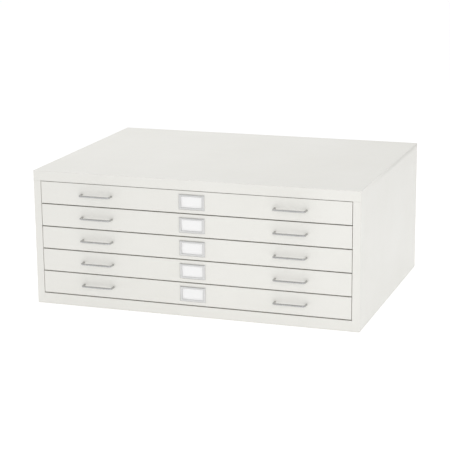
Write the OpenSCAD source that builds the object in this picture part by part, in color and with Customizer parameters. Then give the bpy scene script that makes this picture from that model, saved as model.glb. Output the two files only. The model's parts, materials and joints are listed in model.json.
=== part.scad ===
// Flat file cabinet with five wide, shallow steel drawers, in millimetres.
// The drawers open towards -Y, +X is to the right and +Z is up. The origin is on the floor,
// under the centre of the closed cabinet's bounding box, handles included.

/* [Case] */
// Width of the case
case_w = 1025.5; // [900:0.5:1400]
// Depth of the case, without the handles
case_d = 746.1; // [700:0.1:1100]
// Height of the case
case_h = 419.1; // [400:0.1:450]
// Thickness of the case's sheet steel
case_sheet = 1.2; // [1:0.1:1.5]
// Width of each upright face beside the drawers
stile_w = 23.5; // [22:0.5:28]
// Height of the face above the top drawer
top_rail_h = 31.3; // [28:0.1:40]
// Height of the face below the bottom drawer
base_rail_h = 33.5; // [28:0.1:40]

/* [Drawers] */
// Gap between two drawer fronts
front_gap = 3.1; // [2:0.1:4]
// Gap above the top drawer front
top_gap = 1.5; // [1.2:0.1:3]
// Gap below the bottom drawer front
bottom_gap = 3.1; // [1.5:0.1:4]
// Gap between a drawer front and the stile beside it
side_gap = 1.5; // [1.2:0.1:2.5]
// Depth of the box-shaped drawer front
front_t = 16; // [14:0.5:20]
// Thickness of the drawers' sheet steel
tray_sheet = 0.9; // [0.8:0.1:1.2]
// How far each drawer pulls out
travel = 580; // [400:10:600]
// Depth of the hood over the back of each drawer
hood_d = 110; // [80:1:140]

/* [Rollers] */
// Diameter of a roller
roller_d = 20; // [18:0.5:21]
// Width of a roller
roller_w = 8.8; // [8:0.1:9]
// Diameter of a roller's axle
axle_d = 8; // [6:0.5:8]

/* [Handles] */
// Diameter of the handle's rod
rod_d = 6; // [5:0.5:8]
// Distance between the handle's two legs, centre to centre
leg_span = 96; // [76:1:128]
// Distance from the drawer front to the centre of the handle's bar
handle_reach = 22; // [20:0.5:30]
// Distance from the cabinet's centre line to the middle of each handle
handle_x = 304.8; // [200:0.1:320]

/* [Label holders] */
// Width of the holder's frame
holder_w = 81; // [70:1:100]
// Height of the holder's frame
holder_h = 47; // [40:1:52]
// Width of the window that shows the card
window_w = 65; // [50:1:66]
// Height of the window that shows the card
window_h = 33; // [25:1:34]
// How far the holder stands out from the drawer front
holder_t = 3.2; // [2.8:0.1:4]

/* [Hidden] */
$fn = 64;
drawer_count = 5;

enamel = "#EAE9E4";
chrome = "#B9BBBD";
zinc = "#A9ABA8";
nickel = "#CFCECB";
paper = "#F6F5F3";

// Everything is drawn from the case's front face backwards, then moved here.
handle_proud = handle_reach + rod_d / 2;
front_y = handle_proud - (case_d + handle_proud) / 2;

// Case
half_w = case_w / 2;
inner_w = half_w - case_sheet;
opening_x = half_w - stile_w;
opening_top = case_h - top_rail_h;
roof_z = case_h - case_sheet;
rail_return = 14;
jamb_d = 12;
back_flange = 16;
roof_flange = 12;
base_flange = 26;
base_lip_h = 12;
gusset_leg = 96;
gusset_t = 2;
bolt_r = 4.5;
bolt_span_x = case_w - 95.5;
bolt_span_y = case_d - 96.1;
post_w = 40;
post_y = [62, case_d - 86];
stiffener_y = [case_d * 0.3, case_d * 0.7];
stiffener_w = 60;
stiffener_h = 12;

// Drawer fronts
front_w = 2 * (opening_x - side_gap);
front_h = (case_h - top_rail_h - base_rail_h - top_gap - bottom_gap
           - (drawer_count - 1) * front_gap) / drawer_count;
front_sheet = 1;
front_lip = 17;
pitch = front_h + front_gap;

// Trays, measured from the middle of the drawer front
tray_x = opening_x - 14.2;
tray_y0 = front_t;
tray_y1 = case_d - 29.2;
floor_z = 4 - front_h / 2;
floor_top = floor_z + tray_sheet;
rail_top = front_h / 2 - 10;
rail_x = front_w / 2;
rail_lip_h = 4.5;
floor_x = tray_x + 9;
seam = 0.05;

// Rollers and the channels they run in
clearance = 0.3;
bore_slack = 0.05;
roller_r = roller_d / 2;
axle_r = axle_d / 2;
shoulder_r = axle_r + 1.5;
axle_z = rail_top - tray_sheet - clearance - roller_r;
front_axle_y = 45;
rear_axle_y = tray_y1 - 17;
front_roller_x = tray_x + 2.1;
rear_roller_x = opening_x + 2.2;
web_x = opening_x + 12.8;
flange_x = opening_x + 1.4;
channel_h = roller_d + 2 * clearance;
runner_y0 = 20;
runner_y1 = case_d - 6;
stop_h = 6;
stop_t = 1.5;
stop_reach = sqrt(pow(roller_r, 2) - pow(channel_h / 2 - stop_h, 2)) + clearance;

// The paper depressor's hinge
hinge_y = 30;
hinge_z = floor_top + 14;
hinge_rod_r = 2.5;
knuckle_r = 3.4;
flap_x = tray_x - 5;

// Handles and label holders
bend_r = 7;
screw_r = 2;
screw_depth = 10;
access_r = 7;
card_w = 70;
card_h = 37;
card_t = 0.5;
pocket_t = 1.6;
tab_w = 1;
tab_h = 10;
tab_x = (window_w + holder_w) / 4;

CASE_NODES = ["top_panel", "left_side_panel", "right_side_panel", "back_panel", "front_base_rail",
              "corner_gussets", "top_stiffeners", "uprights", "runners", "front_roller_axles"];
DRAWER_NODES = ["tray", "front", "rear_hood", "depressor", "handles", "label_holder",
                "label_card", "rear_rollers", "hardware"];

// Height of the middle of drawer k's front, with drawer 1 at the top.
function drawer_z(k) = base_rail_h + bottom_gap + front_h / 2 + (drawer_count - k) * pitch;

// ---------------------------------------------------------------- helpers

// A box from its lowest corner to its highest one.
module block(low, high) {
    translate(low) cube(high - low);
}

// Moves the case's front face to where the frame puts it.
module from_front() {
    translate([0, front_y, 0]) children();
}

// Moves to the middle of drawer k's front.
module in_drawer(k) {
    translate([0, front_y, drawer_z(k)]) children();
}

module both_sides() {
    children();
    mirror([1, 0, 0]) children();
}

// Moves to each of a drawer's handle screws, with +Z along the screw and into the drawer.
module at_screws() {
    for (side = [-1, 1], leg = [-1, 1])
        translate([side * handle_x + leg * leg_span / 2, 0, 0]) rotate([-90, 0, 0]) children();
}

// A round bar along +X, starting at x.
module bar(x, length, r) {
    translate([x, 0, 0]) rotate([0, 90, 0]) cylinder(h = length, r = r);
}

// ---------------------------------------------------------------- case

// Roof sheet, folded down into the rail above the drawers and into a flange at the back.
module top_panel() {
    color(enamel) from_front() union() {
        block([-half_w, 0, roof_z], [half_w, case_d, case_h]);
        block([-half_w, 0, opening_top], [half_w, case_sheet, case_h]);
        block([-opening_x, 0, opening_top], [opening_x, rail_return, opening_top + case_sheet]);
        block([-half_w, case_d - case_sheet, case_h - back_flange], [half_w, case_d, case_h]);
    }
}

// Right side sheet, with its stile and jamb at the front and flanges on the other three edges.
module side_panel() {
    color(enamel) from_front() union() {
        block([inner_w, case_sheet, 0], [half_w, case_d - case_sheet, roof_z]);
        block([opening_x, 0, 0], [half_w, case_sheet, opening_top]);
        block([opening_x, 0, base_rail_h], [opening_x + case_sheet, jamb_d, opening_top]);
        block([opening_x, case_sheet, 0], [half_w, case_d - case_sheet, case_sheet]);
        block([half_w - roof_flange, case_sheet, roof_z - case_sheet],
              [half_w, case_d - case_sheet, roof_z]);
        block([half_w - back_flange, case_d - case_sheet, 0],
              [half_w, case_d, case_h - back_flange]);
    }
}

module right_side_panel() {
    side_panel();
}

module left_side_panel() {
    mirror([1, 0, 0]) side_panel();
}

// Back sheet, set inside the flanges, with its foot folded forwards as the rear base rail.
module back_panel() {
    back_y = case_d - 2 * case_sheet;
    color(enamel) from_front() union() {
        block([-inner_w, back_y, case_sheet], [inner_w, back_y + case_sheet, roof_z - case_sheet]);
        block([-opening_x, case_d - base_flange, 0], [opening_x, back_y + case_sheet, case_sheet]);
    }
}

// Face below the drawers, folded back at its top and its foot.
module front_base_rail() {
    lip_x = opening_x - gusset_leg + stile_w;
    color(enamel) from_front() union() {
        block([-opening_x, 0, 0], [opening_x, case_sheet, base_rail_h]);
        block([-opening_x, 0, base_rail_h - case_sheet], [opening_x, rail_return, base_rail_h]);
        block([-opening_x, 0, 0], [opening_x, base_flange, case_sheet]);
        block([-lip_x, base_flange - case_sheet, 0], [lip_x, base_flange, base_lip_h]);
    }
}

// Triangular plates on the base flanges, each drilled for a bolt to a base or another cabinet.
module corner_gussets() {
    margin = 0.2;
    nose = 12;
    x = inner_w - margin;
    y = case_d / 2 - 2 * case_sheet - margin;
    color(enamel) translate([0, front_y + case_d / 2, case_sheet])
        both_sides() for (back = [0, 1]) mirror([0, back, 0]) difference() {
            linear_extrude(gusset_t)
                polygon([[x, -y], [x - gusset_leg, -y], [x - gusset_leg, nose - y],
                         [x - nose, gusset_leg - y], [x, gusset_leg - y]]);
            translate([bolt_span_x / 2, -bolt_span_y / 2, -1])
                cylinder(h = gusset_t + 2, r = bolt_r);
        }
}

// Two hat sections under the roof sheet.
module top_stiffeners() {
    brim = 12;
    reach = half_w - roof_flange - 2;
    sheet = 1;
    color(enamel) from_front() for (y = stiffener_y)
        translate([0, y, roof_z]) difference() {
            union() {
                block([-reach, -stiffener_w / 2, -sheet], [reach, stiffener_w / 2, 0]);
                block([-reach, brim - stiffener_w / 2, -stiffener_h],
                      [reach, stiffener_w / 2 - brim, 0]);
            }
            block([-reach - 1, brim + sheet - stiffener_w / 2, sheet - stiffener_h],
                  [reach + 1, stiffener_w / 2 - brim - sheet, 1]);
        }
}

// Four channel posts between the side sheets and the runners.
module uprights() {
    x0 = web_x + case_sheet;
    z0 = case_sheet + gusset_t;
    z1 = roof_z - case_sheet;
    color(enamel) from_front() both_sides() for (y = post_y) difference() {
        block([x0, y, z0], [inner_w, y + post_w, z1]);
        block([x0 + case_sheet, y + case_sheet, z0 - 1],
              [inner_w + 1, y + post_w - case_sheet, z1 + 1]);
    }
}

// One right-hand channel: the rear roller runs in it between two stops, and the front roller's
// axle goes through its web.
module runner() {
    color(zinc) difference() {
        union() {
            difference() {
                block([flange_x, runner_y0, -channel_h / 2 - case_sheet],
                      [web_x + case_sheet, runner_y1, channel_h / 2 + case_sheet]);
                block([flange_x - 1, runner_y0 - 1, -channel_h / 2],
                      [web_x, runner_y1 + 1, channel_h / 2]);
            }
            for (y = [rear_axle_y - travel - stop_reach - stop_t, rear_axle_y + stop_reach])
                block([flange_x, y, -channel_h / 2 - case_sheet / 2],
                      [web_x + case_sheet / 2, y + stop_t, stop_h - channel_h / 2]);
        }
        translate([0, front_axle_y, 0]) bar(web_x - 1, case_sheet + 2, axle_r + bore_slack);
    }
}

module runners() {
    for (k = [1:drawer_count])
        in_drawer(k) both_sides() translate([0, 0, axle_z]) runner();
}

// ---------------------------------------------------------------- rollers

// Stepped pin with a journal for a roller and a head at each end, drawn along +X.
// The shoulder fills the space between the sheet that holds the pin and the roller.
module axle(head_x, sheet, shoulder, journal) {
    head_t = 1.2;
    color(zinc) union() {
        bar(head_x, head_t, shoulder_r + 0.8);
        bar(head_x + head_t, sheet, axle_r);
        bar(head_x + head_t + sheet, shoulder, shoulder_r);
        bar(head_x + head_t + sheet + shoulder, journal, axle_r);
        bar(head_x + head_t + sheet + shoulder + journal, 1, shoulder_r);
    }
}

// Steel roller with a recessed bearing face on both sides, drawn from x along +X.
module roller(x) {
    recess = 0.8;
    color(zinc) difference() {
        bar(x, roller_w, roller_r);
        bar(x - 1, roller_w + 2, axle_r + bore_slack);
        for (side = [x - 1, x + roller_w - recess]) difference() {
            bar(side, recess + 1, roller_r - 2);
            bar(side - 1, recess + 3, axle_r + 1.8);
        }
    }
}

// Pins through the runners' webs, pointing inwards to the rollers that carry the drawers.
module front_roller_axles() {
    shoulder = web_x - front_roller_x - roller_w - clearance;
    for (k = [1:drawer_count])
        in_drawer(k) both_sides() translate([web_x + case_sheet + 1.2, front_axle_y, axle_z])
            mirror([1, 0, 0]) axle(0, case_sheet, shoulder, roller_w + 2 * clearance);
}

module front_rollers(k) {
    in_drawer(k) both_sides() translate([0, front_axle_y, axle_z]) roller(front_roller_x);
}

module drawer_rear_rollers(k) {
    in_drawer(k) both_sides() translate([0, rear_axle_y, axle_z]) roller(rear_roller_x);
}

// ---------------------------------------------------------------- drawers

// Rail along the right side of a tray: a wall with a foot on the floor sheet and a track that
// rides on the front roller, both turned outwards.
module tray_rail() {
    wall = tray_sheet;
    foot_z = floor_top + seam;
    difference() {
        union() {
            block([tray_x - wall, tray_y0, foot_z], [tray_x, tray_y1, rail_top]);
            block([tray_x - wall, tray_y0, foot_z], [floor_x, tray_y1, foot_z + wall]);
            block([tray_x - wall, tray_y0, rail_top - wall], [rail_x, tray_y1, rail_top]);
            block([rail_x - wall, tray_y0, rail_top - rail_lip_h], [rail_x, tray_y1, rail_top]);
        }
        translate([0, rear_axle_y, axle_z])
            bar(tray_x - wall - 1, wall + 2, axle_r + bore_slack);
        translate([0, hinge_y, hinge_z])
            bar(tray_x - wall - 1, wall + 2, hinge_rod_r + bore_slack);
    }
}

// Welded tray: a flat floor sheet, a rail along each side and a wall at each end.
// The front wall has a hole behind each handle screw, for a screwdriver.
module drawer_tray(k) {
    wall = tray_sheet;
    wall_x = tray_x - wall - seam;
    color(enamel) in_drawer(k) {
        block([-floor_x, tray_y0, floor_z], [floor_x, tray_y1, floor_top]);
        both_sides() tray_rail();
        difference() {
            block([-wall_x, tray_y0, floor_top + seam], [wall_x, tray_y0 + wall, rail_top]);
            at_screws() translate([0, 0, tray_y0 - 1]) cylinder(h = wall + 2, r = access_r);
        }
        block([-wall_x, tray_y1 - wall, floor_top + seam], [wall_x, tray_y1, rail_top]);
    }
}

// Box-shaped front, open at the back inside a lip that the tray is welded to.
module drawer_front(k) {
    x = front_w / 2;
    z = front_h / 2;
    color(enamel) in_drawer(k) difference() {
        block([-x, 0, -z], [x, front_t, z]);
        block([front_sheet - x, front_sheet, front_sheet - z],
              [x - front_sheet, front_t - front_sheet, z - front_sheet]);
        block([front_lip + 8 - x, front_t / 2, 12 - z],
              [x - front_lip - 8, front_t + 1, z - front_lip]);
        at_screws() translate([0, 0, -1]) cylinder(h = front_sheet + 2, r = screw_r + 0.25);
        both_sides() block([tab_x - tab_w / 2, -1, -tab_h / 2], [tab_x + tab_w / 2, 2, tab_h / 2]);
    }
}

// Sheet over the back of the tray, with a raised front edge and a flange behind the back wall.
module drawer_rear_hood(k) {
    x = tray_x + 8;
    lip = 14;
    lip_angle = 22;
    y0 = tray_y1 - hood_d;
    color(enamel) in_drawer(k) union() {
        block([-x, y0, rail_top], [x, tray_y1 + tray_sheet, rail_top + tray_sheet]);
        translate([0, y0, rail_top]) rotate([-lip_angle, 0, 0])
            block([-tray_x, -lip, 0], [tray_x, tray_sheet, tray_sheet]);
        block([-tray_x + 5, tray_y1, rail_top - 20],
              [tray_x - 5, tray_y1 + tray_sheet, rail_top + tray_sheet]);
    }
}

// Hinged flap that holds the front edge of the papers down, drawn at rest just above the floor.
module drawer_depressor(k) {
    flap = [[1.5, -2.4], [16, -12.4], [42, -12.4], [47, -9.4],
            [47.5, -10.1], [42.3, -13.3], [15.7, -13.3], [0.8, -3.1]];
    color(enamel) in_drawer(k) translate([0, hinge_y, hinge_z]) difference() {
        union() {
            bar(-flap_x, 2 * flap_x, knuckle_r);
            translate([-flap_x, 0, 0]) rotate([90, 0, 90]) linear_extrude(2 * flap_x)
                polygon(flap);
        }
        bar(-flap_x - 1, 2 * flap_x + 2, hinge_rod_r + bore_slack);
    }
}

// Rod bent into a bow pull, its legs tapped for a screw from behind the drawer front.
module handle() {
    half = leg_span / 2;
    r = rod_d / 2;
    difference() {
        union() {
            for (side = [-1, 1]) {
                translate([side * half, bend_r - handle_reach, 0]) rotate([-90, 0, 0])
                    cylinder(h = handle_reach - bend_r, r = r);
                translate([side * (half - bend_r), bend_r - handle_reach, 0])
                    rotate([0, 0, side < 0 ? 180 : 270]) rotate_extrude(angle = 90)
                        translate([bend_r, 0]) circle(r = r);
            }
            translate([0, -handle_reach, 0]) bar(bend_r - half, 2 * (half - bend_r), r);
        }
        for (side = [-1, 1])
            translate([side * half, -screw_depth, 0]) rotate([-90, 0, 0])
                cylinder(h = screw_depth + 1, r = screw_r + bore_slack);
    }
}

module drawer_handles(k) {
    color(chrome) in_drawer(k) for (side = [-1, 1])
        translate([side * handle_x, 0, 0]) handle();
}

// Bevelled frame around a window, with a pocket for the card that is open at the top and two
// tabs through the drawer front.
module drawer_label_holder(k) {
    bevel = 2.4;
    rim = 1;
    x = holder_w / 2;
    z = holder_h / 2;
    color(nickel) in_drawer(k) union() {
        difference() {
            hull() {
                block([-x, -rim, -z], [x, 0, z]);
                block([bevel - x, -holder_t, bevel - z], [x - bevel, 0, z - bevel]);
            }
            block([-window_w / 2, -holder_t - 1, -window_h / 2], [window_w / 2, 1, window_h / 2]);
            block([-card_w / 2 - 0.5, -pocket_t, -card_h / 2 - 0.5], [card_w / 2 + 0.5, 1, z + 1]);
        }
        both_sides() block([tab_x - 0.4, -1, 0.5 - tab_h / 2], [tab_x + 0.4, 5, tab_h / 2 - 0.5]);
    }
}

module drawer_label_card(k) {
    back = -0.5;
    color(paper) in_drawer(k)
        block([-card_w / 2, back - card_t, -card_h / 2], [card_w / 2, back, card_h / 2]);
}

// The fixed metal pieces on a drawer: rear roller axles, depressor hinge rod and handle screws.
module drawer_hardware(k) {
    head_t = 1.2;
    shoulder = rear_roller_x - clearance - tray_x;
    rod_x = tray_x + 0.3;
    color(zinc) in_drawer(k) {
        both_sides() translate([0, rear_axle_y, axle_z])
            axle(tray_x - tray_sheet - head_t, tray_sheet, shoulder, roller_w + 2 * clearance);
        translate([0, hinge_y, hinge_z]) union() {
            bar(-rod_x, 2 * rod_x, hinge_rod_r);
            both_sides() bar(rod_x, 1, hinge_rod_r + 1.2);
        }
        at_screws() union() {
            translate([0, 0, 0.5 - screw_depth])
                cylinder(h = screw_depth + front_sheet, r = screw_r);
            translate([0, 0, front_sheet]) cylinder(h = 2.4, r = 2 * screw_r);
        }
    }
}

// ---------------------------------------------------------------- nodes

top_panel();
left_side_panel();
right_side_panel();
back_panel();
front_base_rail();
corner_gussets();
top_stiffeners();
uprights();
runners();
front_roller_axles();
for (k = [1:drawer_count]) {
    front_rollers(k);
    drawer_tray(k);
    drawer_front(k);
    drawer_rear_hood(k);
    drawer_depressor(k);
    drawer_handles(k);
    drawer_label_holder(k);
    drawer_label_card(k);
    drawer_rear_rollers(k);
    drawer_hardware(k);
}
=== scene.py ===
"""The looks of the flat file cabinet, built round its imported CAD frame.

Lengths are in metres, in the CAD's frame: +X right, -Y out of the drawers' fronts, +Z up.
Sheet-metal pieces start from their CAD meshes and get the bends, deburred edges, hems and welds
of folded steel. Handles, cards, rollers and screws are built here from their own outlines.
"""
import json
import math

import bmesh
import bpy
from mathutils import Matrix, Vector


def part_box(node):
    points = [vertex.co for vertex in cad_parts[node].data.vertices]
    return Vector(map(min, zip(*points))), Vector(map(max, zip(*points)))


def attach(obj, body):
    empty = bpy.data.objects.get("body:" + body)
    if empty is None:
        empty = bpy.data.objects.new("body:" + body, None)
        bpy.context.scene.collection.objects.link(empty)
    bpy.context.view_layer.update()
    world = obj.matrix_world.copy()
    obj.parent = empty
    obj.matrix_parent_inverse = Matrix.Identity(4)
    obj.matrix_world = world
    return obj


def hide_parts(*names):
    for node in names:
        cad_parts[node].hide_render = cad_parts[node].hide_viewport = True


MM = 0.001
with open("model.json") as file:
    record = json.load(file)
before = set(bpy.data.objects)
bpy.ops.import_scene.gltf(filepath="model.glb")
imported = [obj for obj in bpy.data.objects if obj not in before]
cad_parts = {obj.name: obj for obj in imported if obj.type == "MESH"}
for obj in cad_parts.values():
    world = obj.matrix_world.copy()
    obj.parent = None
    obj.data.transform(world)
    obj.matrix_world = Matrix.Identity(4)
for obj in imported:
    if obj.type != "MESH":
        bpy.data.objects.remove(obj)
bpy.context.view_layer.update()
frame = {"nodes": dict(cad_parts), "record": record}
DRAWERS = range(1, 6)
SIDES = (-1, 1)


# ---------------------------------------------------------------- materials

class Shader:
    """A node material with short ways to add and join its nodes."""

    def __init__(self, name):
        self.material = bpy.data.materials.new(name)
        self.material.use_nodes = True
        self.tree = self.material.node_tree
        self.surface = self.tree.nodes["Principled BSDF"]
        self.place = self.add("ShaderNodeTexCoord").outputs["Object"]

    def add(self, kind, settings=None, **inputs):
        """A node of that kind. Inputs are numbers, colours or other nodes' outputs."""
        node = self.tree.nodes.new(kind)
        for name, value in (settings or {}).items():
            setattr(node, name, value)
        for name, value in inputs.items():
            self.set(node.inputs[name.replace("_", " ")], value)
        return node

    def set(self, socket, value):
        """Joins another node's output to an input, or gives it a plain value."""
        if isinstance(value, bpy.types.NodeSocket):
            self.tree.links.new(value, socket)
        else:
            socket.default_value = value

    def finish(self, **inputs):
        """Sets the surface shader's inputs, such as Base_Color, and returns the material."""
        for name, value in inputs.items():
            self.set(self.surface.inputs[name.replace("_", " ")], value)
        return self.material

    def stretched(self, x, y, z):
        """Object coordinates scaled along each axis, for grain that runs one way."""
        return self.add("ShaderNodeMapping", Vector=self.place, Scale=(x, y, z)).outputs["Vector"]

    def noise(self, scale, detail=2.0, roughness=0.5, place=None):
        """Grey noise, from 0 to 1, with that many features to the metre."""
        return self.add("ShaderNodeTexNoise", Vector=place or self.place, Scale=scale,
                        Detail=detail, Roughness=roughness).outputs["Fac"]

    def between(self, value, low, high, start=0.3, end=0.7):
        """Spreads a value that lies between start and end over low to high."""
        node = self.add("ShaderNodeMapRange", Value=value)
        node.inputs["From Min"].default_value = start
        node.inputs["From Max"].default_value = end
        node.inputs["To Min"].default_value = low
        node.inputs["To Max"].default_value = high
        return node.outputs["Result"]

    def mix(self, share, first, second):
        """Blends two colours."""
        node = self.add("ShaderNodeMix", {"data_type": "RGBA"})
        self.set(node.inputs[0], share)
        self.set(node.inputs[6], first)
        self.set(node.inputs[7], second)
        return node.outputs[2]

    def bump(self, height, depth, normal=None):
        """A bump of that depth in metres, on top of another bump if one is given."""
        node = self.add("ShaderNodeBump", Height=height, Distance=depth, Strength=1.0)
        if normal is not None:
            self.set(node.inputs["Normal"], normal)
        return node.outputs["Normal"]

    def edges(self, radius):
        """1 along the edges of the shape and 0 on its flats."""
        rounded = self.add("ShaderNodeBevel", {"samples": 4}, Radius=radius).outputs["Normal"]
        flat = self.add("ShaderNodeNewGeometry").outputs["Normal"]
        dot = self.add("ShaderNodeVectorMath", {"operation": "DOT_PRODUCT"})
        self.set(dot.inputs[0], rounded)
        self.set(dot.inputs[1], flat)
        return self.between(dot.outputs["Value"], 1.0, 0.0, 0.86, 0.99)

    def corners(self, reach):
        """1 deep in corners and 0 in the open, from how much nearby surfaces shut out the light:
        the mask for painted shade.
        """
        open_share = self.add("ShaderNodeAmbientOcclusion", {"samples": 4}, Distance=reach)
        return self.between(open_share.outputs["AO"], 1.0, 0.0, 0.15, 0.8)


def enamel():
    """Warm off-white powder coat: fine orange peel over slightly wavy sheet, with painted shade
    deep in its corners.
    """
    s = Shader("powder_coat")
    tone = s.mix(s.between(s.noise(4, 3), 0, 1), (0.835, 0.826, 0.782, 1), (0.860, 0.852, 0.812, 1))
    worn = s.mix(s.edges(0.7 * MM), tone, (0.80, 0.79, 0.75, 1))
    # Painted shade: the colour darkens deep in corners and recesses, where nearby surfaces shut out
    # the light.
    enamel_with_painted_shade = s.mix(s.corners(7 * MM), worn, (0.70, 0.68, 0.62, 1))
    waves = s.bump(s.noise(7, 1), 0.12 * MM)
    peel = s.bump(s.noise(620, 2, 0.45), 0.016 * MM, waves)
    gloss = s.between(s.noise(30, 4, 0.6), 0.36, 0.46)
    return s.finish(Base_Color=enamel_with_painted_shade, Roughness=gloss, Normal=peel, IOR=1.5)


def chrome():
    """Drawn rod with a satin chrome plate."""
    s = Shader("satin_chrome")
    streaks = s.noise(1, 3, 0.6, s.stretched(25, 1800, 1800))
    tone = s.mix(s.between(streaks, 0, 1), (0.46, 0.46, 0.455, 1), (0.54, 0.54, 0.535, 1))
    smudges = s.between(s.noise(45, 3), 0.14, 0.25)
    return s.finish(Base_Color=tone, Metallic=1.0, Roughness=smudges,
                    Normal=s.bump(streaks, 0.006 * MM))


def nickel():
    """Stamped label frame with a brushed satin plate."""
    s = Shader("satin_nickel")
    brushed = s.noise(1, 3, 0.6, s.stretched(60, 2600, 2600))
    tone = s.mix(s.between(brushed, 0, 1), (0.62, 0.62, 0.615, 1), (0.69, 0.69, 0.685, 1))
    worn = s.mix(s.edges(0.5 * MM), tone, (0.75, 0.75, 0.74, 1))
    return s.finish(Base_Color=worn, Metallic=1.0, Roughness=s.between(brushed, 0.34, 0.46),
                    Normal=s.bump(brushed, 0.006 * MM))


def zinc():
    """Zinc-plated steel with a faint mottle and a few handling marks, and painted shade deep in its
    corners.
    """
    s = Shader("zinc_plate")
    spangle = s.add("ShaderNodeTexVoronoi", Vector=s.place, Scale=240.0).outputs["Color"]
    grey = s.add("ShaderNodeRGBToBW", Color=spangle).outputs["Val"]
    tone = s.mix(s.between(grey, 0, 1, 0.2, 0.8), (0.47, 0.48, 0.475, 1), (0.57, 0.58, 0.575, 1))
    # Painted shade: the plate darkens almost to black deep in corners and recesses, where nearby
    # surfaces shut out the light.
    zinc_with_painted_shade = s.mix(s.corners(5 * MM), tone, (0.25, 0.24, 0.22, 1))
    dull = s.between(s.noise(160, 4, 0.65), 0.30, 0.52)
    return s.finish(Base_Color=zinc_with_painted_shade, Metallic=1.0, Roughness=dull,
                    Normal=s.bump(s.noise(900, 2), 0.005 * MM))


def paper():
    """Blank index card: soft fibres and a slightly uneven white."""
    s = Shader("card_stock")
    fibres = s.noise(1, 5, 0.7, s.stretched(900, 900, 2600))
    tone = s.mix(s.between(fibres, 0, 1), (0.935, 0.932, 0.930, 1), (0.965, 0.962, 0.960, 1))
    return s.finish(Base_Color=tone, Roughness=0.85, Normal=s.bump(fibres, 0.02 * MM))


ENAMEL = enamel()
CHROME = chrome()
NICKEL = nickel()
ZINC = zinc()
PAPER = paper()


# ---------------------------------------------------------------- pieces

def new_object(name, bm, material):
    """Makes an object of a bmesh, with smooth faces and sharp edges where it turns sharply."""
    mesh = bpy.data.meshes.new(name)
    bmesh.ops.recalc_face_normals(bm, faces=bm.faces)
    bm.to_mesh(mesh)
    bm.free()
    mesh.materials.append(material)
    mesh.polygons.foreach_set("use_smooth", [True] * len(mesh.polygons))
    mesh.set_sharp_from_angle(angle=math.radians(35))
    piece = bpy.data.objects.new(name, mesh)
    bpy.context.scene.collection.objects.link(piece)
    return piece


def add_piece(name, bm, material, slot, body, *nodes):
    """An object that rides on a body and stands for those CAD nodes."""
    piece = new_object(name, bm, material)
    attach(piece, body)
    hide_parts(*nodes)
    return piece


def cad_shape(node):
    """A CAD node's mesh, with its seams welded."""
    bm = bmesh.new()
    bm.from_mesh(frame["nodes"][node].data)
    bmesh.ops.remove_doubles(bm, verts=bm.verts, dist=1e-6)
    return bm


def flat_faces(mesh):
    """A bmesh of that mesh in which each flat face is whole."""
    bm = bmesh.new()
    bm.from_mesh(mesh)
    bmesh.ops.dissolve_limit(bm, angle_limit=math.radians(0.5), verts=bm.verts, edges=bm.edges)
    return bm


def solids(node):
    """The lowest and highest corner of each separate solid in a CAD node, left to right."""
    bm = cad_shape(node)
    boxes, seen = [], set()
    for first in bm.verts:
        if first in seen:
            continue
        seen.add(first)
        waiting, corners = [first], []
        while waiting:
            vert = waiting.pop()
            corners.append(vert.co.copy())
            for edge in vert.link_edges:
                other = edge.other_vert(vert)
                if other not in seen:
                    seen.add(other)
                    waiting.append(other)
        boxes.append((Vector(map(min, zip(*corners))), Vector(map(max, zip(*corners)))))
    bm.free()
    return sorted(boxes, key=lambda box: tuple(box[0]))


def bake(piece):
    """Makes what its modifiers do part of a piece's mesh."""
    graph = bpy.context.evaluated_depsgraph_get()
    mesh = bpy.data.meshes.new_from_object(piece.evaluated_get(graph))
    piece.modifiers.clear()
    plain, piece.data = piece.data, mesh
    bpy.data.meshes.remove(plain)
    mesh.name = piece.name


def carve(piece, cutter):
    """Cuts the shape of a bmesh out of a piece for good."""
    tool = new_object("cutter", cutter, piece.data.materials[0])
    cut = piece.modifiers.new("cut", "BOOLEAN")
    cut.object = tool
    cut.solver = "EXACT"
    bake(piece)
    bpy.data.meshes.remove(tool.data)


# ---------------------------------------------------------------- round shapes

def lathe(bm, start, along, profile, sides=40):
    """Turns (distance, radius) points round an axis. A profile that starts and ends at
    radius 0 is a solid one, and any other is closed into a ring."""
    along = along.normalized()
    across = along.orthogonal().normalized()
    rings = []
    for distance, radius in profile:
        centre = start + along * distance
        if radius == 0:
            rings.append([bm.verts.new(centre)])
            continue
        turns = (Matrix.Rotation(math.tau * i / sides, 3, along) for i in range(sides))
        rings.append([bm.verts.new(centre + turn @ across * radius) for turn in turns])
    pairs = list(zip(rings, rings[1:]))
    if len(rings[0]) > 1:
        pairs.append((rings[-1], rings[0]))
    for ring, other in pairs:
        for i in range(sides):
            j = (i + 1) % sides
            corners = [ring[i % len(ring)], ring[j % len(ring)],
                       other[j % len(other)], other[i % len(other)]]
            bm.faces.new(list(dict.fromkeys(corners)))


def tube(bm, path, radii, upright, sides=28):
    """A closed round rod through points that all lie in a plane across the upright."""
    rings = []
    for i, (point, radius) in enumerate(zip(path, radii)):
        along = (path[min(i + 1, len(path) - 1)] - path[max(i - 1, 0)]).normalized()
        across = along.cross(upright)
        angles = [math.tau * j / sides for j in range(sides)]
        rings.append([bm.verts.new(point + (across * math.cos(a) + upright * math.sin(a)) * radius)
                      for a in angles])
    for ring, other in zip(rings, rings[1:]):
        for j in range(sides):
            k = (j + 1) % sides
            bm.faces.new((ring[j], ring[k], other[k], other[j]))
    bm.faces.new(rings[0])
    bm.faces.new(rings[-1])


def arc(centre, radius, first, last, steps):
    """Points on a circle in the X-Y plane, from one angle in degrees to another."""
    angles = [math.radians(first + (last - first) * i / steps) for i in range(steps + 1)]
    return [centre + Vector((math.cos(a), math.sin(a), 0)) * radius for a in angles]


# ---------------------------------------------------------------- sheet metal

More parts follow.
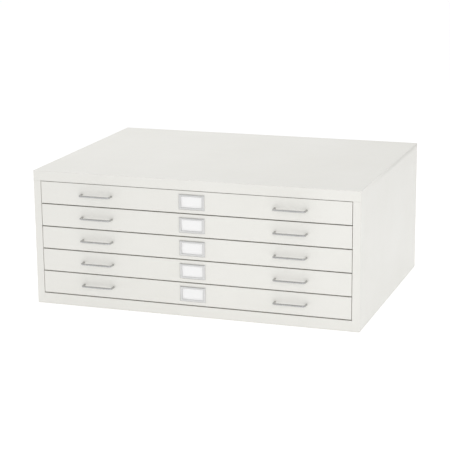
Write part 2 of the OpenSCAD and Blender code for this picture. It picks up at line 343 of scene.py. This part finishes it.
BEND_SHARE = 0.85
INSIDE_BEND_R = 0.25 * MM
DEBURRED_R = 0.15 * MM
GROUND_R = 1.0 * MM
RAIL_EDGE_R = 0.7 * MM
SEAM_R = 0.25 * MM
RADIUS_CHANGE = 0.5 * MM
SAME_PLACE = 0.05 * MM
ROUND_STEP = math.radians(20)


def is_cut(face, sheet):
    """Is this face the cut edge of a sheet, and not one of its sides?"""
    return face.calc_area() / (face.calc_perimeter() / 2) < 1.2 * sheet


def on_rim(edge, sheet):
    """Is this edge beside the wall of a round hole?"""
    walls = [face for face in edge.link_faces if is_cut(face, sheet)]
    return any(math.radians(1) < abs(other.calc_face_angle_signed(0)) < ROUND_STEP
               for wall in walls for other in wall.edges)


def narrow_place(face, sheet):
    """The corner where a face narrows to the sheet's own thickness, and the way to its narrow
    part, or None."""
    if is_cut(face, sheet):
        return None
    for loop in face.loops:
        corner = loop.vert.co
        sides = [loop.link_loop_prev.vert.co - corner, loop.link_loop_next.vert.co - corner]
        axes = [max(range(3), key=lambda i: abs(side[i])) for side in sides]
        straight = all(abs(side[axis]) > 0.999 * side.length for side, axis in zip(sides, axes))
        if loop.is_convex or not straight or axes[0] == axes[1]:
            continue
        thin = [any(SAME_PLACE < abs(vert.co[axis] - corner[axis]) < 1.1 * sheet
                    for vert in face.verts) for axis in axes]
        if thin[0] != thin[1]:
            return corner.copy(), sides[1 if thin[0] else 0].normalized()
    return None


def split_where_narrow(bm, sheet):
    """Splits such faces and the ones beside them there, so that no edge is a bend in one place
    and a cut in another. A second split keeps the change of radius short."""
    waiting = list(bm.faces)
    while waiting:
        face = waiting.pop()
        found = face.is_valid and narrow_place(face, sheet)
        if found:
            corner, way = found
            faces = {other for edge in face.edges for other in edge.link_faces}
            parts = list({part for other in faces for part in (other, *other.edges, *other.verts)})
            for place in (corner + way * RADIUS_CHANGE, corner):
                parts = bmesh.ops.bisect_plane(bm, geom=parts, dist=0.002 * MM, plane_co=place,
                                               plane_no=way)["geom"]
            waiting += [part for part in parts if isinstance(part, bmesh.types.BMFace)]


def fold(piece, sheet, ground=None):
    """Rounds the outside and the inside of each bend, a little less than the sheet is thick,
    and takes the burr off each straight cut edge. ground(point) is the radius of an edge that
    was welded and ground, or None elsewhere."""
    bend = BEND_SHARE * sheet
    bm = flat_faces(piece.data)
    split_where_narrow(bm, sheet)
    weights = bm.edges.layers.float.new("bevel_weight_edge")
    for edge in bm.edges:
        edge.smooth = True
        if len(edge.link_faces) != 2:
            continue
        angle = edge.calc_face_angle_signed()
        if abs(angle) < ROUND_STEP:
            continue
        radius = ground((edge.verts[0].co + edge.verts[1].co) / 2) if ground else None
        if radius is None:
            if on_rim(edge, sheet):
                radius = 0.0
            elif any(is_cut(face, sheet) for face in edge.link_faces):
                radius = DEBURRED_R
            else:
                radius = bend if angle > 0 else INSIDE_BEND_R
        edge[weights] = radius / bend
        edge.smooth = radius > 0
    corners = [vert.co.copy() for vert in bm.verts]
    low, high = Vector(map(min, zip(*corners))), Vector(map(max, zip(*corners)))
    bm.to_mesh(piece.data)
    bm.free()
    bevel = piece.modifiers.new("bends", "BEVEL")
    bevel.limit_method = "WEIGHT"
    bevel.width = bend
    bevel.segments = 4
    bevel.use_clamp_overlap = False
    bake(piece)
    # Where different radii meet at a corner, the rounding can swell past the sheet by a hair.
    for vert in piece.data.vertices:
        vert.co = [min(max(x, first), last) for x, first, last in zip(vert.co, low, high)]
    normals = piece.modifiers.new("flat_faces", "WEIGHTED_NORMAL")
    normals.keep_sharp = True


def soften(piece, width):
    """Takes a small radius off every sharp edge."""
    bm = flat_faces(piece.data)
    bm.to_mesh(piece.data)
    bm.free()
    piece.data.set_sharp_from_angle(angle=math.pi)
    bevel = piece.modifiers.new("soft_edges", "BEVEL")
    bevel.limit_method = "ANGLE"
    bevel.width = width
    bevel.segments = 3
    piece.modifiers.new("flat_faces", "WEIGHTED_NORMAL")


def spot_welds(places, out):
    """A bmesh of lens shapes that press a spot weld's shallow dimple into a face."""
    dimple = [(-0.16 * MM, 0), (-0.14 * MM, 1.1 * MM), (-0.06 * MM, 2.0 * MM),
              (0.0, 2.7 * MM), (1 * MM, 2.7 * MM), (1 * MM, 0)]
    bm = bmesh.new()
    for place in places:
        lathe(bm, place, out, dimple, 24)
    return bm


def drilled(places, through, radius):
    """A bmesh of round bars, to drill those holes."""
    bm = bmesh.new()
    for place in places:
        lathe(bm, place - through, through, [(0, 0), (0, radius), (2 * through.length, radius),
                                             (2 * through.length, 0)])
    return bm


def spread(first, last, count):
    """Evenly spaced numbers from the first to the last."""
    return [first + (last - first) * i / (count - 1) for i in range(count)]


# ---------------------------------------------------------------- case

CASE_SHEET = 1.2 * MM
ROOF_LOW, ROOF_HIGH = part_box("top_panel")
SIDE_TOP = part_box("right_side_panel")[1].z
OPENING_TOP = ROOF_LOW.z
OPENING_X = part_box("front_base_rail")[1].x
BASE_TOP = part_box("front_base_rail")[1].z
BACK_FLANGE = 16 * MM


def near(value, target):
    """Are two places the same, give or take the CAD mesh's rounding?"""
    return abs(value - target) < SAME_PLACE


def ground_skin(point):
    """The case's outer corners are rounded alike, and its front and side seams are ground flush,
    apart from a hairline under the rail above the drawers."""
    side = near(abs(point.x), ROOF_HIGH.x)
    front = near(point.y, ROOF_LOW.y)
    ends = [side, front or near(point.y, ROOF_HIGH.y), near(point.z, ROOF_HIGH.z), near(point.z, 0)]
    if sum(ends) >= 2:
        return GROUND_R
    if side and (near(point.z, SIDE_TOP) or near(point.y, ROOF_LOW.y + CASE_SHEET)):
        return 0.0
    if near(point.z, OPENING_TOP):
        if side or front:
            return SEAM_R if side else RAIL_EDGE_R
        if abs(point.x) > OPENING_X:
            return 0.0
    if front and near(abs(point.x), OPENING_X) and point.z < BASE_TOP:
        return 0.0
    return None


def build_skin():
    """Roof, sides and base rail, with spot welds down the back flanges."""
    back = Vector((0, 1, 0))
    flange_x = ROOF_HIGH.x - BACK_FLANGE / 2
    heights = spread(30 * MM, OPENING_TOP - 12 * MM, 7)
    weld_rows = {
        "top_panel": [Vector((x, ROOF_HIGH.y, ROOF_HIGH.z - BACK_FLANGE / 2))
                      for x in spread(-470 * MM, 470 * MM, 13)],
        "right_side_panel": [Vector((flange_x, ROOF_HIGH.y, z)) for z in heights],
        "left_side_panel": [Vector((-flange_x, ROOF_HIGH.y, z)) for z in heights],
    }
    for node in ("top_panel", "left_side_panel", "right_side_panel", "front_base_rail"):
        piece = add_piece(node + "_sheet", cad_shape(node), ENAMEL, "enamel", "cabinet", node)
        if node in weld_rows:
            carve(piece, spot_welds(weld_rows[node], back))
        fold(piece, CASE_SHEET, ground=ground_skin)


def build_frame():
    """The back, and the structure inside the skin."""
    for node, sheet in (("back_panel", CASE_SHEET), ("top_stiffeners", 1.0 * MM),
                        ("uprights", CASE_SHEET), ("corner_gussets", 2.0 * MM)):
        piece = add_piece(node + "_sheet", cad_shape(node), ENAMEL, "enamel", "cabinet", node)
        if node == "corner_gussets":
            mount = next(m for m in frame["record"]["mounts"] if m["kind"] == "bolt_pattern")
            dims, middle = mount["dims"], mount["pos_m"]
            holes = [Vector((middle[0] + sx * dims["spacing_x_mm"] * MM / 2,
                             middle[1] + sy * dims["spacing_y_mm"] * MM / 2,
                             middle[2])) for sx in SIDES for sy in SIDES]
            carve(piece, drilled(holes, Vector((0, 0, 5 * MM)), (dims["hole_r_mm"] + 0.02) * MM))
        fold(piece, sheet)
    runners = add_piece("runner_channels", cad_shape("runners"), ZINC, "zinc", "cabinet", "runners")
    fold(runners, CASE_SHEET)


# ---------------------------------------------------------------- rollers

AXLE_R = 4.0 * MM
SHOULDER_R = 5.5 * MM
CLEARANCE = 0.3 * MM
CHAMFER = 0.4 * MM


def add_rollers(node, body):
    """Steel rollers with a crowned rim and a dished bearing seal on both faces."""
    bm = bmesh.new()
    for low, high in solids(node):
        centre = (low + high) / 2
        radius, width = (high.z - low.z) / 2, high.x - low.x
        half = [(0, AXLE_R + 0.05 * MM), (0, AXLE_R + 1.6 * MM), (0.5 * MM, AXLE_R + 1.9 * MM),
                (0.8 * MM, AXLE_R + 2.3 * MM), (0.8 * MM, radius - 2.6 * MM),
                (0.4 * MM, radius - 2.2 * MM), (0, radius - 1.9 * MM), (0, radius - 0.7 * MM),
                (0.2 * MM, radius - 0.25 * MM), (0.8 * MM, radius)]
        other = [(width - along, r) for along, r in reversed(half)]
        lathe(bm, Vector((low.x, centre.y, centre.z)), Vector((1, 0, 0)), half + other, 56)
    add_piece(node + "_turned", bm, ZINC, "zinc", body, node)


def axle(bm, box, roller, sheet):
    """A stepped pin: a domed head, a shoulder up to the roller, its journal and a riveted end."""
    low, high = box
    centre = (low + high) / 2
    turn = 1 if roller[0].x + roller[1].x > low.x + high.x else -1
    start = low.x if turn > 0 else high.x
    near_face, far_face = (roller[0].x, roller[1].x) if turn > 0 else (roller[1].x, roller[0].x)
    shoulder = abs(near_face - start) - CLEARANCE
    journal = abs(far_face - start) + CLEARANCE
    length, head_r, head_t = high.x - low.x, (high.z - low.z) / 2, 1.2 * MM
    profile = [(0, 0), (0, head_r * 0.55), (0.3 * MM, head_r * 0.85), (0.8 * MM, head_r),
               (head_t, head_r), (head_t, AXLE_R), (head_t + sheet, AXLE_R),
               (head_t + sheet, SHOULDER_R), (shoulder - CHAMFER, SHOULDER_R),
               (shoulder, SHOULDER_R - CHAMFER), (shoulder, AXLE_R), (journal, AXLE_R),
               (journal, SHOULDER_R), (length - 0.6 * MM, SHOULDER_R),
               (length - 0.2 * MM, SHOULDER_R * 0.8), (length, SHOULDER_R * 0.45), (length, 0)]
    lathe(bm, Vector((start, centre.y, centre.z)), Vector((turn, 0, 0)), profile)


def nearest(box, others):
    """Of the other boxes, the one whose middle is nearest to this one's."""
    return min(others, key=lambda other: (other[0] + other[1] - box[0] - box[1]).length)


def build_front_rollers():
    """The rollers on the case, and the pins that carry them."""
    rollers = []
    for k in DRAWERS:
        add_rollers(f"front_rollers_{k}", f"front_rollers_{k}")
        rollers += solids(f"front_rollers_{k}")
    bm = bmesh.new()
    for box in solids("front_roller_axles"):
        axle(bm, box, nearest(box, rollers), CASE_SHEET)
    add_piece("front_roller_pins", bm, ZINC, "zinc", "cabinet", "front_roller_axles")


# ---------------------------------------------------------------- drawers

TRAY_SHEET = 0.9 * MM
FRONT_SHEET = 1.0 * MM


def build_tray(node, body, screws):
    """The tray, with clean round holes in its front wall behind the handle screws."""
    tray = add_piece(node + "_sheet", cad_shape(node), ENAMEL, "enamel", body, node)
    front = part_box(node)[0].y
    holes = [Vector(((low.x + high.x) / 2, front, (low.z + high.z) / 2)) for low, high in screws]
    carve(tray, drilled(holes, Vector((0, 5 * MM, 0)), 7.02 * MM))
    fold(tray, TRAY_SHEET)


def build_hood(node, body):
    """The hood, with a rolled edge along its raised lip."""
    bm = cad_shape(node)
    low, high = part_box(node)
    tip = [vert.co.copy() for vert in bm.verts if vert.co.y < low.y + 0.6 * MM]
    middle = sum(tip, Vector()) / len(tip)
    half = max(point.x for point in tip)
    roll = 0.95 * MM
    hood = add_piece(node + "_sheet", bm, ENAMEL, "enamel", body, node)
    fold(hood, TRAY_SHEET)
    edge = bmesh.new()
    start = Vector((-half, low.y + roll, middle.z))
    lathe(edge, start, Vector((1, 0, 0)), [(0, 0), (0, roll * 0.7), (roll * 0.3, roll),
                                           (2 * half - roll * 0.3, roll), (2 * half, roll * 0.7),
                                           (2 * half, 0)], 16)
    rolled = new_object(node + "_rolled_edge", edge, ENAMEL)
    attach(rolled, body)


def build_depressor(node, body, hinge):
    """One strip of sheet: an eye rolled round the hinge rod, a slope down, a flat and a lip up."""
    low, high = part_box(node)
    sheet = 0.85 * MM
    eye = 2.55 * MM + sheet / 2
    flat_z = low.z - hinge.z + sheet / 2
    slope_foot = Vector((15.8 * MM, flat_z))
    away = math.acos(eye / slope_foot.length)
    leave = math.atan2(slope_foot.y, slope_foot.x) + away
    rolled = [leave + math.radians(315) * (1 - i / 30) for i in range(31)]
    line = [Vector((math.cos(a), math.sin(a))) * eye for a in rolled]
    lip = Vector((high.y - hinge.y - 0.6 * MM, flat_z + 3.2 * MM))
    line += rounded([line[-1], slope_foot, Vector((42.2 * MM, flat_z)), lip], 1.6 * MM)[1:]
    outline = thickened(line, sheet)
    bm = bmesh.new()
    ends = [[bm.verts.new((x, hinge.y + p.x, hinge.z + p.y)) for p in outline]
            for x in (low.x, high.x)]
    count = len(outline)
    for i in range(count):
        j = (i + 1) % count
        bm.faces.new((ends[0][i], ends[0][j], ends[1][j], ends[1][i]))
    half = count // 2
    for end in ends:
        for i in range(half - 1):
            bm.faces.new((end[i], end[i + 1], end[count - 2 - i], end[count - 1 - i]))
    add_piece(node + "_strip", bm, ENAMEL, "enamel", body, node)


def rounded(corners, radius, steps=5):
    """A line through those corners, with each inner corner turned into an arc."""
    line = [corners[0]]
    for before, corner, after in zip(corners, corners[1:], corners[2:]):
        into, out = (corner - before).normalized(), (after - corner).normalized()
        turn = into.angle_signed(out)
        cut = radius * math.tan(abs(turn) / 2)
        start = corner - into * cut
        side = Vector((into.y, -into.x)) * math.copysign(radius, turn)
        centre = start + side
        for i in range(steps + 1):
            swing = Matrix.Rotation(-turn * i / steps, 2)
            line.append(centre + swing @ -side)
    return line + [corners[-1]]


def thickened(line, sheet):
    """The outline of a sheet of that thickness along a line: up one side and down the other."""
    sides = [], []
    for i, point in enumerate(line):
        along = (line[min(i + 1, len(line) - 1)] - line[max(i - 1, 0)]).normalized()
        across = Vector((-along.y, along.x)) * sheet / 2
        sides[0].append(point + across)
        sides[1].append(point - across)
    return sides[0] + sides[1][::-1]


def build_handles(node, body):
    """Two rods bent into bow pulls."""
    bend = 7 * MM
    bm = bmesh.new()
    for low, high in solids(node):
        r = (high.z - low.z) / 2
        z = (low.z + high.z) / 2
        left, right, bar = low.x + r, high.x - r, low.y + r
        corner_left = Vector((left + bend, bar + bend, z))
        corner_right = Vector((right - bend, bar + bend, z))
        foot = [(high.y, r - CHAMFER), (high.y - CHAMFER, r)]
        path = [Vector((left, y, z)) for y, _ in foot]
        path += arc(corner_left, bend, 180, 270, 9)
        path += arc(corner_right, bend, 270, 360, 9)
        path += [Vector((right, y, z)) for y, _ in reversed(foot)]
        radii = [size for _, size in foot] + [r] * 20 + [size for _, size in reversed(foot)]
        tube(bm, path, radii, Vector((0, 0, 1)))
    add_piece(node + "_bent_rod", bm, CHROME, "chrome", body, node)


def build_label(body):
    """The stamped frame, and a blank card that bows slightly in its pocket."""
    holder = f"{body}_label_holder"
    stamped = add_piece(holder + "_stamped", cad_shape(holder), NICKEL, "nickel", body, holder)
    soften(stamped, 0.35 * MM)
    card = f"{body}_label_card"
    low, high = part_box(card)
    columns, rows, bow = 24, 8, 0.35 * MM
    bm = bmesh.new()
    layers = []
    for back in (0, 1):
        grid = []
        for j in range(rows + 1):
            for i in range(columns + 1):
                u, v = i / columns, j / rows
                swell = bow * math.sin(math.pi * u) * (0.75 + 0.25 * math.sin(math.pi * v))
                y = (low.y, low.y + 0.3 * MM)[back] - swell
                grid.append(bm.verts.new((low.x + (high.x - low.x) * u, y,
                                          low.z + (high.z - low.z) * v)))
        layers.append(grid)
        for j in range(rows):
            for i in range(columns):
                first = j * (columns + 1) + i
                bm.faces.new([grid[first + step]
                              for step in (0, 1, columns + 2, columns + 1)])
    rim = [e for e in bm.edges if len(e.link_faces) == 1]
    bmesh.ops.bridge_loops(bm, edges=rim)
    add_piece(card + "_sheet", bm, PAPER, "card", body, card)


def pan_head_screw():
    """A screw along +Y, its head's cross recess at the +Y end, with the thread's far end at 0."""
    root, crest, pitch = 1.65 * MM, 2 * MM, 0.7 * MM
    shank, head, head_r = 10.5 * MM, 2.4 * MM, 4 * MM
    profile = [(0, 0), (0, root * 0.8)]
    along = 0.3 * MM
    while along + pitch < shank:
        profile += [(along, root), (along + pitch / 2, crest)]
        along += pitch
    profile += [(shank, root), (shank, head_r - 0.2 * MM), (shank + 0.2 * MM, head_r),
                (shank + 1.1 * MM, head_r), (shank + 1.7 * MM, head_r * 0.93),
                (shank + 2.1 * MM, head_r * 0.75), (shank + head, head_r * 0.4), (shank + head, 0)]
    bm = bmesh.new()
    lathe(bm, Vector(), Vector((0, 1, 0)), profile, 24)
    screw = new_object("pan_head_screw", bm, ZINC)
    carve(screw, cross_recess(shank + head, 1.3 * MM))
    return screw


def cross_recess(face, depth):
    """A tapered cross along Y that cuts a recess of that depth into a face at that Y."""
    half_arm, tip = 0.45 * MM, 2.3 * MM
    corners = [(half_arm, tip), (half_arm, half_arm), (tip, half_arm)]
    outline = [Matrix.Rotation(-math.pi / 2 * turn, 2) @ Vector(corner)
               for turn in range(4) for corner in corners]
    cross = bmesh.new()
    rings = [[cross.verts.new((p.x * scale, y, p.y * scale)) for p in outline]
             for y, scale in ((face - depth, 0.45), (face + 1 * MM, 1.35))]
    for i in range(len(outline)):
        j = (i + 1) % len(outline)
        cross.faces.new((rings[0][i], rings[0][j], rings[1][j], rings[1][i]))
    for ring in rings:
        cross.faces.new(ring)
    return cross


def build_hardware(node, body, screws, screw_mesh):
    """Handle screws, the flap's hinge rod and the pins of the rear rollers."""
    boxes = solids(node)
    rod = max(boxes, key=lambda box: box[1].x - box[0].x)
    bm = bmesh.new()
    for low, high in screws:
        first = len(bm.verts)
        bm.from_mesh(screw_mesh)
        bm.verts.ensure_lookup_table()
        place = Vector(((low.x + high.x) / 2, low.y, (low.z + high.z) / 2))
        bmesh.ops.translate(bm, vec=place, verts=bm.verts[first:])
    add_piece(f"{body}_handle_screws", bm, ZINC, "zinc", body, node)
    bm = bmesh.new()
    rollers = solids(f"{body}_rear_rollers")
    for box in boxes:
        if box is not rod and box not in screws:
            axle(bm, box, nearest(box, rollers), TRAY_SHEET)
    add_piece(f"{body}_rear_roller_pins", bm, ZINC, "zinc", body, node)
    low, high = rod
    length, head_r = high.x - low.x, (high.z - low.z) / 2
    head = [(0, 0), (0, head_r * 0.5), (0.3 * MM, head_r * 0.85), (0.7 * MM, head_r),
            (1.0 * MM, head_r), (1.0 * MM, 2.5 * MM)]
    profile = head + [(length - along, r) for along, r in reversed(head)]
    bm = bmesh.new()
    start = Vector((low.x, (low.y + high.y) / 2, (low.z + high.z) / 2))
    lathe(bm, start, Vector((1, 0, 0)), profile)
    add_piece(f"{body}_hinge_rod", bm, ZINC, "zinc", body, node)


def build_drawer(k, screw_mesh):
    """Everything that slides with a drawer, and what turns on it."""
    body = f"drawer_{k}"
    hardware = solids(f"{body}_hardware")
    rod = max(hardware, key=lambda box: box[1].x - box[0].x)
    screws = [box for box in hardware if box[1].y < rod[0].y]
    build_tray(f"{body}_tray", body, screws)
    front = add_piece(f"{body}_front_sheet", cad_shape(f"{body}_front"), ENAMEL, "enamel", body,
                      f"{body}_front")
    fold(front, FRONT_SHEET)
    build_hood(f"{body}_rear_hood", body)
    build_depressor(f"{body}_depressor", f"depressor_{k}", (rod[0] + rod[1]) / 2)
    build_handles(f"{body}_handles", body)
    build_label(body)
    add_rollers(f"{body}_rear_rollers", f"rear_rollers_{k}")
    build_hardware(f"{body}_hardware", body, screws, screw_mesh)


# ---------------------------------------------------------------- studio

def studio_camera():
    """Looks at the cabinet from its front right and slightly above, through a long lens."""
    azimuth, elevation, roll = (math.radians(a) for a in (19.237, 14.065, -0.590))
    distance, right_shift, up_shift = 4.906, -0.0248, -0.0144
    back = Vector((math.sin(azimuth) * math.cos(elevation),
                   -math.cos(azimuth) * math.cos(elevation), math.sin(elevation)))
    level = Vector((0, 0, 1)).cross(back).normalized()
    upright = back.cross(level)
    right = math.cos(roll) * level + math.sin(roll) * upright
    up = back.cross(right)
    low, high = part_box("top_panel")
    case_middle = Vector(((low.x + high.x) / 2, (low.y + high.y) / 2, high.z / 2))
    data = bpy.data.cameras.new("studio_camera")
    data.lens = 123.05
    data.sensor_width = 36
    camera = bpy.data.objects.new("studio_camera", data)
    camera.matrix_world = Matrix((
        (right.x, up.x, back.x, 0), (right.y, up.y, back.y, 0), (right.z, up.z, back.z, 0),
        (0, 0, 0, 1)))
    camera.location = case_middle + back * distance + right * right_shift + up * up_shift
    bpy.context.scene.collection.objects.link(camera)
    bpy.context.scene.camera = camera


def soft_light(name, place, aim, size, watts):
    """A square softbox that faces a point."""
    data = bpy.data.lights.new(name, "AREA")
    data.size = size
    data.energy = watts
    light = bpy.data.objects.new(name, data)
    light.location = place
    light.rotation_mode = "QUATERNION"
    light.rotation_quaternion = (Vector(aim) - Vector(place)).to_track_quat("-Z", "Y")
    bpy.context.scene.collection.objects.link(light)


def studio_floor(reach):
    """A pale floor that glows a little, like a light table, but not where the cabinet stands."""
    inset = Vector((2 * MM, 2 * MM, 0))
    low, high = ROOF_LOW + inset, ROOF_HIGH - inset
    columns, rows = (-reach, low.x, high.x, reach), (-reach, low.y, high.y, reach)
    bm = bmesh.new()
    grid = [[bm.verts.new((x, y, 0)) for x in columns] for y in rows]
    for j in range(3):
        for i in range(3):
            face = bm.faces.new((grid[j][i], grid[j][i + 1], grid[j + 1][i + 1], grid[j + 1][i]))
            face.material_index = 1 if i == j == 1 else 0
    mesh = bpy.data.meshes.new("studio_floor")
    bm.to_mesh(mesh)
    bm.free()
    for name, glow in (("pale_floor", 0.63), ("shaded_floor", 0.0)):
        s = Shader(name)
        mesh.materials.append(s.finish(Base_Color=(0.6, 0.6, 0.6, 1), Roughness=0.9,
                                       Emission_Color=(1, 1, 1, 1), Emission_Strength=glow))
    floor = bpy.data.objects.new("studio_floor", mesh)
    bpy.context.scene.collection.objects.link(floor)


def studio():
    """White room: an even sky, a pale floor, two softboxes overhead and one at the front right."""
    scene = bpy.context.scene
    scene.view_settings.view_transform = "Standard"
    world = bpy.data.worlds.new("studio")
    world.use_nodes = True
    world.node_tree.nodes["Background"].inputs["Color"].default_value = (1, 1, 1, 1)
    world.node_tree.nodes["Background"].inputs["Strength"].default_value = 0.605
    scene.world = world
    studio_floor(60)
    soft_light("over_left", (-1.3, 0.2, 2.0), (-0.3, 0, 0.4), 1.6, 7.5)
    soft_light("over_middle", (0.2, 0.4, 2.6), (0.2, 0, 0.4), 2.2, 17)
    soft_light("front_right", (1.0, -2.2, 0.9), (0.3, -0.4, 0.2), 1.2, 6.0)
    studio_camera()


build_skin()
build_frame()
build_front_rollers()
screw = pan_head_screw()
for drawer in DRAWERS:
    build_drawer(drawer, screw.data)
bpy.data.objects.remove(screw)
studio()
